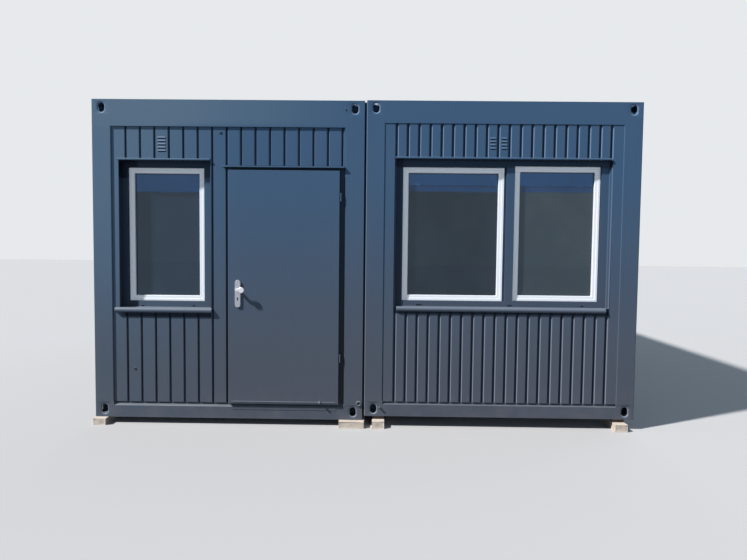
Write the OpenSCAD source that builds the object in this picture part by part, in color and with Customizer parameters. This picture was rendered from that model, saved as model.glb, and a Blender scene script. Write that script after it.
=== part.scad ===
// Double cabin made of two steel office containers that stand side by side on concrete blocks.
// X runs along the front, -Y is the front and Z is up.
// The origin is at ground level, in the middle of the outline.

/* [Modules] */
// Width of each container across its front
module_w = 2435; // [2380:5:2600]
// Length of each container from front to back
module_d = 6055; // [3000:5:9000]
// Height of the left container
left_h = 2860; // [2700:5:3000]
// Height of the right container
right_h = 2825; // [2700:5:3000]
// Gap between the two containers
joint_gap = 18; // [8:1:40]

/* [Foundation blocks] */
// Height of the blocks under the left container
left_pad_h = 60; // [40:5:150]
// Height of the blocks and their timber packing under the right container
right_pad_h = 100; // [70:5:150]
// Thickness of the timber packing on the right container's blocks
pack_h = 32; // [15:1:50]
// Width of a block
pad_w = 122; // [100:1:200]
// Width of the blocks at the joint, under the left container
joint_pad_w = 240; // [150:5:300]
// Length of a block
pad_l = 300; // [240:5:400]
// How far the front blocks stand out in front of the posts
pad_out = 70; // [0:1:80]
// How far the left container's outer blocks stand in from its outline
left_pad_in = 4; // [0:1:60]
// How far the right container's blocks stand in from its outline
right_pad_in = 69; // [0:1:100]
// How far the joint blocks reach past the left container's outline
joint_pad_past = 24; // [0:1:40]

/* [Steel frame] */
// Width of the left container's corner posts
left_post_w = 171; // [150:1:200]
// Width of the right container's corner posts
right_post_w = 165; // [150:1:200]
// Depth of every corner post
post_d = 178; // [160:1:220]
// Wall of the folded steel posts
post_wall = 4; // [2:0.5:8]
// Radius of the posts' upright edges
post_round = 8; // [4:0.5:12]
// Radius of the left container's upright edges at the joint
joint_round = 2; // [1:0.5:6]
// Height of a corner casting
cast_h = 140; // [132:1:150]
// Wall of a corner casting
cast_wall = 14; // [8:1:22]
// Width of the oval hole in a casting's upright faces
cast_hole_w = 56; // [40:1:64]
// Height of the oval hole in a casting's upright faces
cast_hole_h = 82; // [70:1:90]
// Distance from a left casting's outer end to the middle of its hole
left_hole_in = 72; // [60:1:78]
// Distance from a right casting's outer end to the middle of its hole
right_hole_in = 66; // [60:1:78]
// Width of the sloping rim round a casting's hole
rim_w = 12; // [4:1:14]
// Depth of the sloping rim round a casting's hole
rim_d = 9; // [3:1:12]
// Height of the left container's floor rails
left_rail_h = 141; // [120:1:160]
// Height of the right container's floor rails
right_rail_h = 135; // [120:1:160]
// Depth of the floor rails
rail_d = 150; // [148:1:165]
// Height of the front edge of the floor rails' sloping lips
lip_z = 107; // [90:1:115]
// Slope of the lips
lip_slope = 33; // [15:1:38]
// Height of the left container's roof beams
left_beam_h = 235; // [180:1:260]
// Height of the right container's roof beams
right_beam_h = 197; // [180:1:260]
// Depth of the roof beams
beam_d = 150; // [148:1:165]

/* [Ribbed walls] */
// Thickness of the ribbed wall panels
wall_t = 120; // [100:1:130]
// Thickness of the inner lining boards
lining_t = 12; // [8:1:16]
// How far the left container's ribs lie behind its posts
left_set = 14; // [6:1:18]
// Distance between the left container's grooves
left_pitch = 129.5; // [110:0.1:150]
// Width of the left container's grooves at the mouth
left_mouth = 21; // [14:1:28]
// Width of the left container's grooves at the bottom
left_bed = 16; // [8:1:18]
// Depth of the left container's grooves
left_groove = 14; // [6:1:16]
// Distance from the left container's edge to its first groove
left_first = 297; // [260:1:340]
// How far the right container's ribs lie behind its posts
right_set = 6; // [4:1:16]
// Distance between the right container's grooves
right_pitch = 99.9; // [80:0.1:120]
// Width of the right container's grooves at the mouth
right_mouth = 33; // [26:1:44]
// Width of the right container's grooves at the bottom
right_bed = 17; // [8:1:22]
// Depth of the right container's grooves
right_groove = 12; // [6:1:16]
// Distance from the right container's edge to its first groove
right_first = 268; // [250:0.5:300]

/* [Left window] */
// Left edge of the window recess
lw_x = 230; // [205:1:260]
// Width of the window recess
lw_w = 828; // [780:1:840]
// Width of the steel border left of the frame
lw_border = 55; // [30:1:90]
// Width of the frame
lw_frame_w = 695; // [600:1:710]
// Depth of the steel border behind the post faces
lw_set = 84; // [50:1:90]
// Depth of the frame behind the post faces
lw_frame_set = 105; // [92:1:115]
// Height of the recess's lower edge above the container's foot
lw_sill_z = 1000; // [900:1:1100]
// Height of the steel border under the frame
lw_low = 58; // [30:1:70]
// Height of the steel border over the frame
lw_top = 55; // [30:1:70]
// Distance of the recess's top below the roof beam
lw_down = 299; // [240:1:360]

/* [Right windows] */
// Left edge of the window recess
rw_x = 262; // [240:1:290]
// Distance of the recess's right edge from the container's right edge
rw_end = 249; // [200:1:300]
// Width of the steel border left of the wide frame
rw_border = 67; // [30:1:90]
// Width of the steel border right of the narrow frame, with its sloping edge
rw_last = 88; // [40:1:100]
// Width of the steel post between the two frames
rw_mullion = 91; // [60:1:95]
// Width of the narrow frame
rw_narrow_w = 769; // [650:1:775]
// Depth of the steel border behind the post faces
rw_set = 45; // [36:1:60]
// Depth of the frames behind the post faces
rw_frame_set = 68; // [60:1:80]
// Height of the recess's lower edge above the container's foot
rw_sill_z = 998; // [900:1:1100]
// Height of the steel border under the wide frame
wide_low = 53; // [30:1:70]
// Height of the steel border over the wide frame
wide_top = 66; // [30:1:80]
// Height of the steel border under the narrow frame
narrow_low = 58; // [30:1:70]
// Height of the steel border over the narrow frame
narrow_top = 50; // [30:1:70]
// Distance of the recess's top below the roof beam
rw_down = 310; // [240:1:360]
// Width of the sloping edges right of the wide frame and of the recess
rw_slope = 18; // [0:1:24]

/* [Window parts] */
// Thickness of the steel recess lining
pan_t = 4; // [2:1:6]
// Width of the outer frame as it shows
case_w = 23; // [18:1:32]
// Width of the inner frame as it shows
sash_w = 28; // [24:1:42]
// How far the inner frame stands back from the outer frame
sash_back = 4; // [2:1:12]
// Depth of the glass behind the inner frame's face
bead_d = 28; // [6:1:34]
// Thickness of the double glazing
glass_t = 22; // [12:1:26]
// Depth of the frames from front to back
frame_d = 70; // [60:1:80]
// Radius of the half-round sills
sill_r = 22; // [16:1:28]
// How far the sills stand out from the post faces
sill_out = 20; // [15:1:30]
// How far the rain strip over the left window stands out
left_strip_out = 8; // [4:1:20]
// How far the rain strip over the right windows stands out
right_strip_out = 12; // [6:1:30]
// Height of a rain strip
strip_h = 18; // [14:1:34]

/* [Door] */
// Left edge of the door leaf
door_x = 1223; // [1216:1:1240]
// Room for the hinges between the leaf and the right corner post
hinge_room = 46; // [40:1:60]
// Height of the door leaf's lower edge above the container's foot
door_z = 136; // [130:1:150]
// Height of the door leaf
door_h = 2105; // [1950:1:2110]
// Thickness of the part of the leaf that laps over the frame
leaf_front_t = 46; // [36:1:50]
// Thickness of the part of the leaf that fits in the frame
leaf_core_t = 20; // [12:1:24]
// How far the leaf laps over the frame
leaf_lap = 34; // [24:1:44]
// Clearance between the leaf and its frame
leaf_gap = 7; // [5:0.5:8]
// Radius of the leaf's upright front edge beside the handle
leaf_round = 7; // [2:0.5:10]
// Radius of the leaf's upright front edge beside the hinges
hinge_round = 2; // [1:0.5:6]
// Radius of the leaf's lower front edge
foot_round = 16; // [4:1:18]
// Depth of the door frame's face behind the post faces
jamb_set = 28; // [28:1:34]
// Depth of the door frame from front to back
jamb_d = 95; // [70:1:120]
// Height of the frame's head above the opening
head_h = 71; // [62:1:100]
// Height of the door frame's threshold over the floor rail
threshold_h = 22; // [16:1:26]
// How far the rain strip over the door stands out
door_strip_out = 26; // [26:1:60]
// Height of the rain strip over the door
door_strip_h = 18; // [12:1:26]
// Clearance between the leaf's top and the rain strip
door_strip_gap = 25; // [8:1:30]

/* [Hinges] */
// Radius of a hinge knuckle
knuckle_r = 8; // [6:0.5:9]
// Height of one hinge knuckle
knuckle_h = 36; // [24:1:50]
// Radius of the hinge pins
pin_r = 4; // [3:0.5:5]
// Clearance round a hinge pin
pin_gap = 0.3; // [0.2:0.1:0.5]
// Distance of the hinge pins behind the leaf's face
hinge_back = 10.5; // [9:0.5:14]
// Gap between the leaf's edge and a knuckle
knuckle_gap = 4; // [3:0.5:6]
// Height of the lower hinge above the container's foot
hinge_low = 563; // [400:1:700]
// Height of the upper hinge above the container's foot
hinge_high = 2008; // [1800:1:2100]
// Thickness of the hinge flaps
flap_t = 5; // [4:0.5:7]

/* [Handle] */
// Height of the outer plate's middle above the container's foot
plate_z = 1142; // [1000:1:1300]
// Distance of the plate's middle from the leaf's free edge
plate_in = 89; // [80:1:120]
// Width of the plate
plate_w = 50; // [40:1:60]
// Height of the plate
plate_h = 246; // [200:1:280]
// Thickness of the plate
plate_t = 15; // [6:1:18]
// Height of the knob's neck above the plate's middle
neck_up = 39; // [20:1:70]
// Distance of the lock cylinder below the knob's neck
lock_down = 80; // [60:1:92]
// Radius of the knob
knob_r = 27; // [20:1:32]
// Thickness of the knob
knob_t = 20; // [12:1:24]
// Sideways offset of the knob from its neck
knob_off = 44; // [30:1:55]
// How far the knob's back stands off the plate
knob_stand = 45; // [20:1:50]
// Length of the inner handle's lever
lever_l = 120; // [90:1:140]

/* [Roof and floor] */
// Thickness of the floor boards
board_t = 20; // [12:1:26]
// Thickness of the ceiling boards
ceiling_t = 12; // [8:1:16]
// How far the roof sheet lies below the top of the beams
roof_down = 24; // [16:1:40]
// Thickness of the roof sheet
roof_t = 4; // [2:1:8]
// Distance between the roof sheet's standing seams
seam_pitch = 565; // [400:5:800]
// Height of the standing seams
seam_h = 16; // [8:1:16]
// Width of the cover strips over the joint inside
cover_w = 80; // [60:1:120]
// Thickness of the cover strips
cover_t = 4; // [2:1:6]
// Depth of the upright strips between the posts behind the post faces
joint_strip_in = 60; // [30:1:120]

/* [Vents] */
// Distance of the lowest slats' edge below the roof beam
vent_down = 218; // [160:1:240]
// Width of the left vent's slats
lv_w = 72; // [50:1:84]
// Width of the right vents' slats
rv_w = 50; // [36:1:54]
// Distance between slats
slat_pitch = 29; // [24:1:34]
// Height of a slat
slat_h = 15; // [10:1:20]
// How far a slat stands out from its rib
slat_out = 5; // [3:1:6]

/* [Hidden] */
$fn = 32;

// Sides are numbered 0 for the left container and 1 for the right one.
total_w = 2 * module_w + joint_gap;
module_x = [-total_w / 2, total_w / 2 - module_w];
foot_z = [left_pad_h, right_pad_h];
height = [left_h, right_h];
post_w = [left_post_w, right_post_w];
rail_h = [left_rail_h, right_rail_h];
beam_h = [left_beam_h, right_beam_h];
wall_set = [left_set, right_set];
bed_y = [left_set + left_groove, right_set + right_groove];
side_l = module_d - 2 * post_d;
front_l = [module_w - 2 * left_post_w, module_w - 2 * right_post_w];
top_z = [foot_z[0] + height[0], foot_z[1] + height[1]];
hole_in = [left_hole_in, right_hole_in];
// Window openings follow the height and width of their container.
lw_h = left_h - left_beam_h - lw_down - lw_sill_z;
rw_h = right_h - right_beam_h - rw_down - rw_sill_z;
rw_w = module_w - rw_x - rw_end;
rw_wide_w = rw_w - rw_border - rw_mullion - rw_narrow_w - rw_last;
// Window frames are numbered 0 for the left one, 1 for the wide one and 2 for the narrow one.
frame_x = [lw_x + lw_border, rw_x + rw_border, rw_x + rw_border + rw_wide_w + rw_mullion];
frame_w = [lw_frame_w, rw_wide_w, rw_narrow_w];
frame_set = [lw_frame_set, rw_frame_set, rw_frame_set];
frame_low = [lw_sill_z + lw_low, rw_sill_z + wide_low, rw_sill_z + narrow_low];
frame_h = [lw_h - lw_low - lw_top, rw_h - wide_low - wide_top, rw_h - narrow_low - narrow_top];
// Both rooms share one floor level and one ceiling level.
floor_top = min(left_pad_h + left_rail_h, right_pad_h + right_rail_h);
ceiling_low = min(foot_z[0] + height[0] - beam_h[0], foot_z[1] + height[1] - beam_h[1]) - ceiling_t;
lining_face = [for (s = [0, 1]) wall_set[s] + wall_t + lining_t];
// The wall beside the door ends in the bed of its eighth groove.
jamb_left = left_first + 7 * left_pitch;
door_w = module_w - left_post_w - hinge_room - door_x;
// Door frame opening: the leaf's core stands inside it with leaf_gap all round.
open_x = door_x + leaf_lap - leaf_gap;
open_w = door_w - 2 * leaf_lap + 2 * leaf_gap;
open_top = door_z + door_h - leaf_lap + leaf_gap;
leaf_y = jamb_set - leaf_gap;
leaf_front = leaf_y - leaf_front_t;
// The knob stands out furthest in front, so the outline's middle lies half of that before the walls' middle.
front_out = -(leaf_front - plate_t - knob_stand - knob_t);
front_y = (front_out - module_d) / 2;
back_y = front_y + module_d;
hinge_x = door_x + door_w + knuckle_gap + knuckle_r;
hinge_y = leaf_front + hinge_back;
strip_z = door_z + door_h + door_strip_gap;
steel = [0.25, 0.33, 0.41];
dark_steel = [0.2, 0.27, 0.34];

// Moves its children into the frame of one container: its outer left front foot corner.
module at_module(s) {
    translate([module_x[s], front_y, foot_z[s]])
        children();
}

// Turns a panel drawn along the front so that it closes a container's back.
module at_back(s) {
    translate([module_x[s] + module_w, back_y, foot_z[s]])
        rotate(180)
            children();
}

// Turns a panel drawn along the front so that it closes the outer long side.
module at_side(s) {
    translate([s == 0 ? module_x[0] : module_x[1] + module_w, s == 0 ? back_y : front_y, foot_z[s]])
        rotate(s == 0 ? -90 : 90)
            children();
}

module oval(w, h) {
    for (z = [-1, 1])
        translate([0, z * (h - w) / 2])
            circle(d = w);
    square([w, h - w], center = true);
}

// Outline of a ribbed panel, seen from above: grooves at the given places, flat back.
function groove(c, mouth, bed, deep) =
    [[c - mouth / 2, 0], [c - bed / 2, deep], [c + bed / 2, deep], [c + mouth / 2, 0]];

// Ribbed panel from x0 to x1; either end may lie in the middle of a groove.
module ribbed(s, x0, x1, z0, z1, cut0 = false, cut1 = false) {
    pitch = s == 0 ? left_pitch : right_pitch;
    first = s == 0 ? left_first : right_first;
    mouth = s == 0 ? left_mouth : right_mouth;
    bed = s == 0 ? left_bed : right_bed;
    deep = s == 0 ? left_groove : right_groove;
    low = x0 + (cut0 ? -1 : mouth / 2);
    high = x1 + (cut1 ? 1 : -mouth / 2 - 4);
    edge = [for (c = [first : pitch : high]) if (c > low) each groove(c, mouth, bed, deep)];
    translate([0, wall_set[s], z0])
        linear_extrude(z1 - z0)
            polygon(concat([[x0, wall_t], [x0, cut0 ? deep : 0]],
                [for (p = edge) if (p[0] > x0 && p[0] < x1) p],
                [[x1, cut1 ? deep : 0], [x1, wall_t]]));
}

// Box given by its two ends on each axis.
module span(x, y, z) {
    translate([x[0], y[0], z[0]])
        cube([x[1] - x[0], y[1] - y[0], z[1] - z[0]]);
}

// Places its children at the left ends and the right ends of one container's blocks, front to back.
module at_pads(s) {
    x = s == 0 ? [left_pad_in, module_w + joint_pad_past - joint_pad_w]
        : [right_pad_in, module_w - right_pad_in - pad_w];
    for (i = [0, 1], y = [-pad_out, (module_d - pad_l) / 2, module_d - pad_l - left_pad_in])
        translate([module_x[s] + x[i], front_y + y, 0]) {
            $w = s == 0 && i == 1 ? joint_pad_w : pad_w;
            children();
        }
}

module foundation_blocks() {
    color([0.82, 0.79, 0.74])
        for (s = [0, 1])
            at_pads(s)
                cube([$w, pad_l, s == 0 ? left_pad_h : right_pad_h - pack_h]);
}

// Timber between the right container and its blocks.
module timber_packing() {
    color([0.3, 0.25, 0.2])
        at_pads(1)
            translate([8, pad_out + 24, right_pad_h - pack_h])
                cube([$w - 16, pad_l - pad_out - 30, pack_h]);
}

// Oval hole with a rim that opens towards +Z, up to the level z = 0.
module rimmed_oval(w, h) {
    half = (h - w) / 2;
    translate([0, 0, -cast_wall - 1])
        linear_extrude(cast_wall + 2)
            oval(w, h);
    for (y = [-half, half])
        translate([0, y, -rim_d])
            cylinder(d1 = w, d2 = w + 2 * rim_w, h = rim_d);
    rotate([90, 0, 0])
        linear_extrude(2 * half, center = true)
            polygon([[-w / 2, -rim_d], [w / 2, -rim_d], [w / 2 + rim_w, 0], [-w / 2 - rim_w, 0]]);
    linear_extrude(1)
        oval(w + 2 * rim_w, h + 2 * rim_w);
}

// Radius of the outer upright edge of a container's left posts (i = 0) and right posts (i = 1).
function outer_round(s, i) = s == 0 && i == 1 ? joint_round : post_round;

// Corner casting with an oval hole in its front, its outer side and its top or bottom.
module casting(s, up, round) {
    w = post_w[s];
    z = up ? cast_h - hole_in[s] : hole_in[s];
    difference() {
        rounded_box(w, post_d, cast_h, round, 0);
        translate([cast_wall, cast_wall, cast_wall])
            cube([w - 2 * cast_wall, post_d - 2 * cast_wall, cast_h - 2 * cast_wall]);
        translate([w / 2, 0, z])
            rotate([90, 0, 0])
                rimmed_oval(cast_hole_w, cast_hole_h);
        translate([0, post_d / 2, z])
            rotate([90, 0, -90])
                rimmed_oval(cast_hole_w, cast_hole_h);
        translate([w / 2, post_d / 2, up ? cast_h - cast_wall - 1 : -1])
            linear_extrude(cast_wall + 2)
                oval(cast_hole_w, 1.5 * cast_hole_h);
    }
}

module corner_castings() {
    color(steel)
        for (s = [0, 1], up = [0, 1]) {
            z = up * (height[s] - cast_h);
            at_module(s) {
                translate([0, 0, z])
                    casting(s, up == 1, outer_round(s, 0));
                translate([module_w, 0, z])
                    mirror([1, 0, 0])
                        casting(s, up == 1, outer_round(s, 1));
            }
            at_back(s) {
                translate([0, 0, z])
                    casting(s, up == 1, outer_round(s, 1));
                translate([module_w, 0, z])
                    mirror([1, 0, 0])
                        casting(s, up == 1, outer_round(s, 0));
            }
        }
}

// Upright box with its left front edge rounded by radius a and its right front edge by radius b.
module rounded_box(w, d, h, a, b) {
    linear_extrude(h)
        difference() {
            square([w, d]);
            corner(a);
            if (b > 0)
                translate([w, 0])
                    mirror([1, 0])
                        corner(b);
        }
}

// What rounding takes away from a square corner at the origin.
module corner(r) {
    translate([-1, -1])
        difference() {
            square(r + 1);
            translate([r + 1, r + 1])
                circle(r);
        }
}

module corner_posts() {
    color(steel)
        for (s = [0, 1], i = [0, 1], j = [0, 1])
            translate([module_x[s] + i * module_w, j == 0 ? front_y : back_y, foot_z[s] + cast_h])
                mirror([i, 0, 0])
                    mirror([0, j, 0])
                        difference() {
                            rounded_box(post_w[s], post_d, height[s] - 2 * cast_h, outer_round(s, i),
                                post_round);
                            translate([post_wall, post_wall, -1])
                                cube([post_w[s] - 2 * post_wall, post_d - 2 * post_wall,
                                    height[s] - 2 * cast_h + 2]);
                        }
}

// Floor rail, drawn along X: its lip slopes back under the ribs, to the upstand that the wall stands on.
module floor_rail(s, l) {
    rotate([90, 0, 90])
        linear_extrude(l)
            polygon([[0, 0], [rail_d, 0], [rail_d, floor_top - foot_z[s] - board_t],
                [lining_face[s], floor_top - foot_z[s] - board_t], [lining_face[s], rail_h[s]],
                [bed_y[s], rail_h[s]], [bed_y[s], lip_z + bed_y[s] * tan(lip_slope)], [0, lip_z]]);
}

module floor_rails() {
    color(steel)
        for (s = [0, 1]) {
            at_module(s)
                translate([post_w[s], 0, 0])
                    floor_rail(s, front_l[s]);
            at_back(s)
                translate([post_w[s], 0, 0])
                    floor_rail(s, front_l[s]);
            at_side(s)
                translate([post_d, 0, 0])
                    floor_rail(s, side_l);
            // The rail beside the joint ends under the floor boards.
            at_module(s)
                span([s == 0 ? module_w - rail_d : 0, s == 0 ? module_w : rail_d],
                    [post_d, module_d - post_d], [0, floor_top - foot_z[s] - board_t]);
        }
}

module roof_beams() {
    color(steel)
        for (s = [0, 1]) {
            z = [height[s] - beam_h[s], height[s]];
            at_module(s) {
                span([post_w[s], module_w - post_w[s]], [0, beam_d], z);
                span([post_w[s], module_w - post_w[s]], [module_d - beam_d, module_d], z);
                span([0, beam_d], [post_d, module_d - post_d], z);
                span([module_w - beam_d, module_w], [post_d, module_d - post_d], z);
            }
        }
}

module floor_decks() {
    color([0.55, 0.55, 0.53])
        for (s = [0, 1])
            translate([module_x[s], front_y, 0])
                difference() {
                    union() {
                        span([s == 0 ? lining_face[0] : 0, s == 0 ? module_w : module_w - lining_face[1]],
                            [lining_face[s], module_d - lining_face[s]], [floor_top - board_t, floor_top]);
                        span([rail_d, module_w - rail_d], [rail_d, module_d - rail_d],
                            [foot_z[s] + 25, floor_top - board_t]);
                    }
                    for (i = [0, 1], j = [0, 1])
                        translate([i * (module_w - post_w[s]), j * (module_d - post_d), 0])
                            cube([post_w[s], post_d, floor_top + 1]);
                }
}

module ceilings() {
    color([0.9, 0.9, 0.88])
        for (s = [0, 1]) {
            top = foot_z[s] + height[s] - roof_down - roof_t;
            translate([module_x[s], front_y, 0])
                difference() {
                    union() {
                        span([s == 0 ? lining_face[0] : 0, s == 0 ? module_w : module_w - lining_face[1]],
                            [lining_face[s], module_d - lining_face[s]],
                            [ceiling_low, foot_z[s] + height[s] - beam_h[s]]);
                        span([beam_d, module_w - beam_d], [beam_d, module_d - beam_d],
                            [ceiling_low, top]);
                    }
                    for (i = [0, 1], j = [0, 1])
                        translate([i * (module_w - post_w[s]), j * (module_d - post_d), ceiling_low - 1])
                            cube([post_w[s], post_d, top]);
                }
        }
}

// Roof sheet with standing seams across the container, lying between the roof beams.
module roof_sheets() {
    color([0.62, 0.64, 0.65])
        for (s = [0, 1]) {
            z = foot_z[s] + height[s] - roof_down - roof_t;
            translate([module_x[s], front_y, z])
                difference() {
                    union() {
                        span([beam_d, module_w - beam_d], [beam_d, module_d - beam_d], [0, roof_t]);
                        for (y = [beam_d + seam_pitch / 2 : seam_pitch : module_d - beam_d - 60])
                            translate([beam_d, y, roof_t])
                                rotate([90, 0, 90])
                                    linear_extrude(module_w - 2 * beam_d)
                                        polygon([[0, 0], [30, 0], [22, seam_h], [8, seam_h]]);
                    }
                    for (i = [0, 1], j = [0, 1])
                        translate([i * (module_w - post_w[s]), j * (module_d - post_d), -1])
                            cube([post_w[s], post_d, roof_t + seam_h + 2]);
                }
        }
}

// Strips that close the joint: on the floor, at the ceiling, on the roof and upright between the posts.
module joint_covers() {
    y = [front_y + post_d, back_y - post_d];
    mid = module_x[0] + module_w + joint_gap / 2;
    low = min(top_z[0], top_z[1]);
    high = max(top_z[0], top_z[1]);
    color(dark_steel) {
        span([mid - cover_w / 2, mid + cover_w / 2], y, [floor_top, floor_top + cover_t]);
        span([mid - cover_w / 2, mid + cover_w / 2], y, [ceiling_low - cover_t, ceiling_low]);
        span([mid - cover_w / 2, mid + cover_t / 2], y, [top_z[0], top_z[0] + cover_t]);
        span([mid - cover_t / 2, mid + cover_w / 2], y, [top_z[1], top_z[1] + cover_t]);
        span([mid - cover_t / 2, mid + cover_t / 2], y, [low, high + cover_t]);
        for (y = [front_y + joint_strip_in, back_y - joint_strip_in - cover_t])
            span([mid - joint_gap / 2, mid + joint_gap / 2], [y, y + cover_t],
                [max(foot_z[0], foot_z[1]), low]);
    }
}

// Hole for a window recess, seen from above: its right edge may slope.
module window_hole(s, x, w, z, h, set, slope = 0) {
    translate([0, 0, z])
        linear_extrude(h)
            polygon([[x, -1], [x, set + pan_t], [x + w - slope, set + pan_t], [x + w, wall_set[s]],
                [x + w, -1]]);
}

// Hole for window frame i; the steel right of it may slope back to the frame.
module frame_hole(i, slope = 0) {
    x = frame_x[i] + frame_w[i];
    span([frame_x[i], x], [0, max(lining_face) + 1], [frame_low[i], frame_low[i] + frame_h[i]]);
    if (slope > 0)
        translate([0, 0, frame_low[i]])
            linear_extrude(frame_h[i])
                polygon([[x - 1, rw_frame_set], [x, rw_frame_set], [x + slope, rw_set], [x + slope, 0],
                    [x - 1, 0]]);
}

module frame_holes(s) {
    if (s == 0)
        frame_hole(0);
    else {
        frame_hole(1, rw_slope);
        frame_hole(2);
    }
}

module left_window_wall() {
    color(steel)
        at_module(0)
            difference() {
                ribbed(0, left_post_w, jamb_left, left_rail_h, left_h - left_beam_h, cut1 = true);
                window_hole(0, lw_x, lw_w, lw_sill_z, lw_h, lw_set);
                frame_holes(0);
            }
}

module over_door_wall() {
    color(steel)
        at_module(0)
            ribbed(0, jamb_left, module_w - left_post_w, open_top + head_h, left_h - left_beam_h,
                cut0 = true);
}

module right_window_wall() {
    color(steel)
        at_module(1)
            difference() {
                ribbed(1, right_post_w, module_w - right_post_w, right_rail_h, right_h - right_beam_h);
                window_hole(1, rw_x, rw_w, rw_sill_z, rw_h, rw_set, rw_slope);
                frame_holes(1);
            }
}

module left_side_wall() {
    color(steel)
        at_side(0)
            ribbed(0, post_d, module_d - post_d, left_rail_h, left_h - left_beam_h);
}

module right_side_wall() {
    color(steel)
        at_side(1)
            ribbed(1, post_d, module_d - post_d, right_rail_h, right_h - right_beam_h);
}

module rear_walls() {
    color(steel)
        for (s = [0, 1])
            at_back(s)
                ribbed(s, post_w[s], module_w - post_w[s], rail_h[s], height[s] - beam_h[s]);
}

// Lining board behind a wall, as high as the wall.
module lining(s, x0, x1) {
    span([x0, x1], [lining_face[s] - lining_t, lining_face[s]], [rail_h[s], height[s] - beam_h[s]]);
}

module front_linings() {
    color([0.88, 0.87, 0.83])
        for (s = [0, 1])
            at_module(s)
                difference() {
                    lining(s, post_w[s], module_w - post_w[s]);
                    frame_holes(s);
                    if (s == 0)
                        span([jamb_left, module_w], [0, lining_face[0] + 1], [0, open_top + head_h]);
                }
}

module side_linings() {
    color([0.88, 0.87, 0.83])
        for (s = [0, 1])
            at_side(s)
                lining(s, post_d, module_d - post_d);
}

module rear_linings() {
    color([0.88, 0.87, 0.83])
        for (s = [0, 1])
            at_back(s)
                lining(s, post_w[s], module_w - post_w[s]);
}

// Tray of folded steel round a window: a border set back in the wall, with upright edges.
module surround(s, x, w, z, h, set, slope = 0) {
    difference() {
        translate([0, 0, z])
            linear_extrude(h)
                polygon([[x, wall_set[s]], [x, set + pan_t], [x + w - slope, set + pan_t],
                    [x + w, wall_set[s]]]);
        translate([0, 0, z + pan_t])
            linear_extrude(h - 2 * pan_t)
                polygon([[x + pan_t, -1], [x + pan_t, set], [x + w - slope - pan_t, set],
                    [x + w - pan_t, wall_set[s]], [x + w - pan_t, -1]]);
        frame_holes(s);
    }
}

module left_window_surround() {
    color(steel)
        at_module(0)
            surround(0, lw_x, lw_w, lw_sill_z, lw_h, lw_set);
}

module right_window_surround() {
    color(steel)
        at_module(1)
            surround(1, rw_x, rw_w, rw_sill_z, rw_h, rw_set, rw_slope);
}

// Plastic window frame: an outer frame and an inner frame set back in it.
module window_frame(i) {
    w = frame_w[i];
    h = frame_h[i];
    translate([frame_x[i] + w / 2, frame_set[i], frame_low[i] + h / 2])
        rotate([90, 0, 0])
            difference() {
                translate([0, 0, -frame_d])
                    linear_extrude(frame_d)
                        square([w, h], center = true);
                translate([0, 0, -sash_back])
                    linear_extrude(sash_back + 1)
                        square([w - 2 * case_w, h - 2 * case_w], center = true);
                translate([0, 0, -frame_d - 1])
                    linear_extrude(frame_d + 2)
                        square([w - 2 * case_w - 2 * sash_w, h - 2 * case_w - 2 * sash_w], center = true);
            }
}

module pane(i) {
    edge = case_w + sash_w;
    y = frame_set[i] + sash_back + bead_d;
    span([frame_x[i] + edge, frame_x[i] + frame_w[i] - edge], [y, y + glass_t],
        [frame_low[i] + edge, frame_low[i] + frame_h[i] - edge]);
}

module left_window_frame() {
    color([0.93, 0.94, 0.95])
        at_module(0)
            window_frame(0);
}

module wide_window_frame() {
    color([0.93, 0.94, 0.95])
        at_module(1)
            window_frame(1);
}

module narrow_window_frame() {
    color([0.93, 0.94, 0.95])
        at_module(1)
            window_frame(2);
}

module window_glass() {
    color([0.3, 0.36, 0.42]) {
        at_module(0)
            pane(0);
        at_module(1) {
            pane(1);
            pane(2);
        }
    }
}

// Half-round steel sill against the wall, its top level with the recess.
module sill(s, x0, x1, z) {
    y = sill_r - sill_out;
    translate([x0, 0, z + 3 - sill_r])
        rotate([90, 0, 90])
            linear_extrude(x1 - x0)
                difference() {
                    union() {
                        translate([y, 0])
                            circle(sill_r);
                        translate([y, -sill_r])
                            square([wall_set[s] - y, 2 * sill_r]);
                    }
                    translate([wall_set[s], -sill_r - 1])
                        square(2 * sill_r + 2);
                }
}

module window_sills() {
    color(steel) {
        at_module(0)
            sill(0, lw_x - 37, lw_x + lw_w + 12, lw_sill_z);
        at_module(1)
            sill(1, rw_x + 18, module_w - rw_end - 35, rw_sill_z);
    }
}

// Profile of a rain strip: a folded steel angle, its foot at depth y0 and its edge turned down.
module strip_profile(y0, out, h) {
    polygon([[y0, h], [-out, h - 5], [-out, 0], [-out + 4, 0], [-out + 4, h - 9], [y0, h - 4]]);
}

module rain_strip(s, x0, x1, z, out) {
    translate([x0, 0, z])
        rotate([90, 0, 90])
            linear_extrude(x1 - x0)
                strip_profile(wall_set[s], out, strip_h);
}

module window_rain_strips() {
    color(steel) {
        at_module(0)
            rain_strip(0, lw_x - 16, lw_x + lw_w, lw_sill_z + lw_h, left_strip_out);
        at_module(1)
            rain_strip(1, rw_x - 4, module_w - rw_end - 16, rw_sill_z + rw_h, right_strip_out);
    }
}

// Vent: slats pressed out of a rib, each open below.
module slats(s, x, w, z, n) {
    for (i = [0 : n - 1])
        translate([x - w / 2, wall_set[s], z + i * slat_pitch])
            rotate([90, 0, 90])
                linear_extrude(w)
                    polygon([[0, 0], [0, slat_h], [-slat_out, 4], [-slat_out, 0]]);
}

module vents() {
    z = [left_h - left_beam_h - vent_down, right_h - right_beam_h - vent_down];
    color(steel) {
        at_module(0)
            slats(0, left_first + 2.5 * left_pitch, lv_w, z[0], 5);
        at_module(1)
            for (rib = [8.5, 9.5])
                slats(1, right_first + rib * right_pitch, rv_w, z[1], 4);
    }
}

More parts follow.
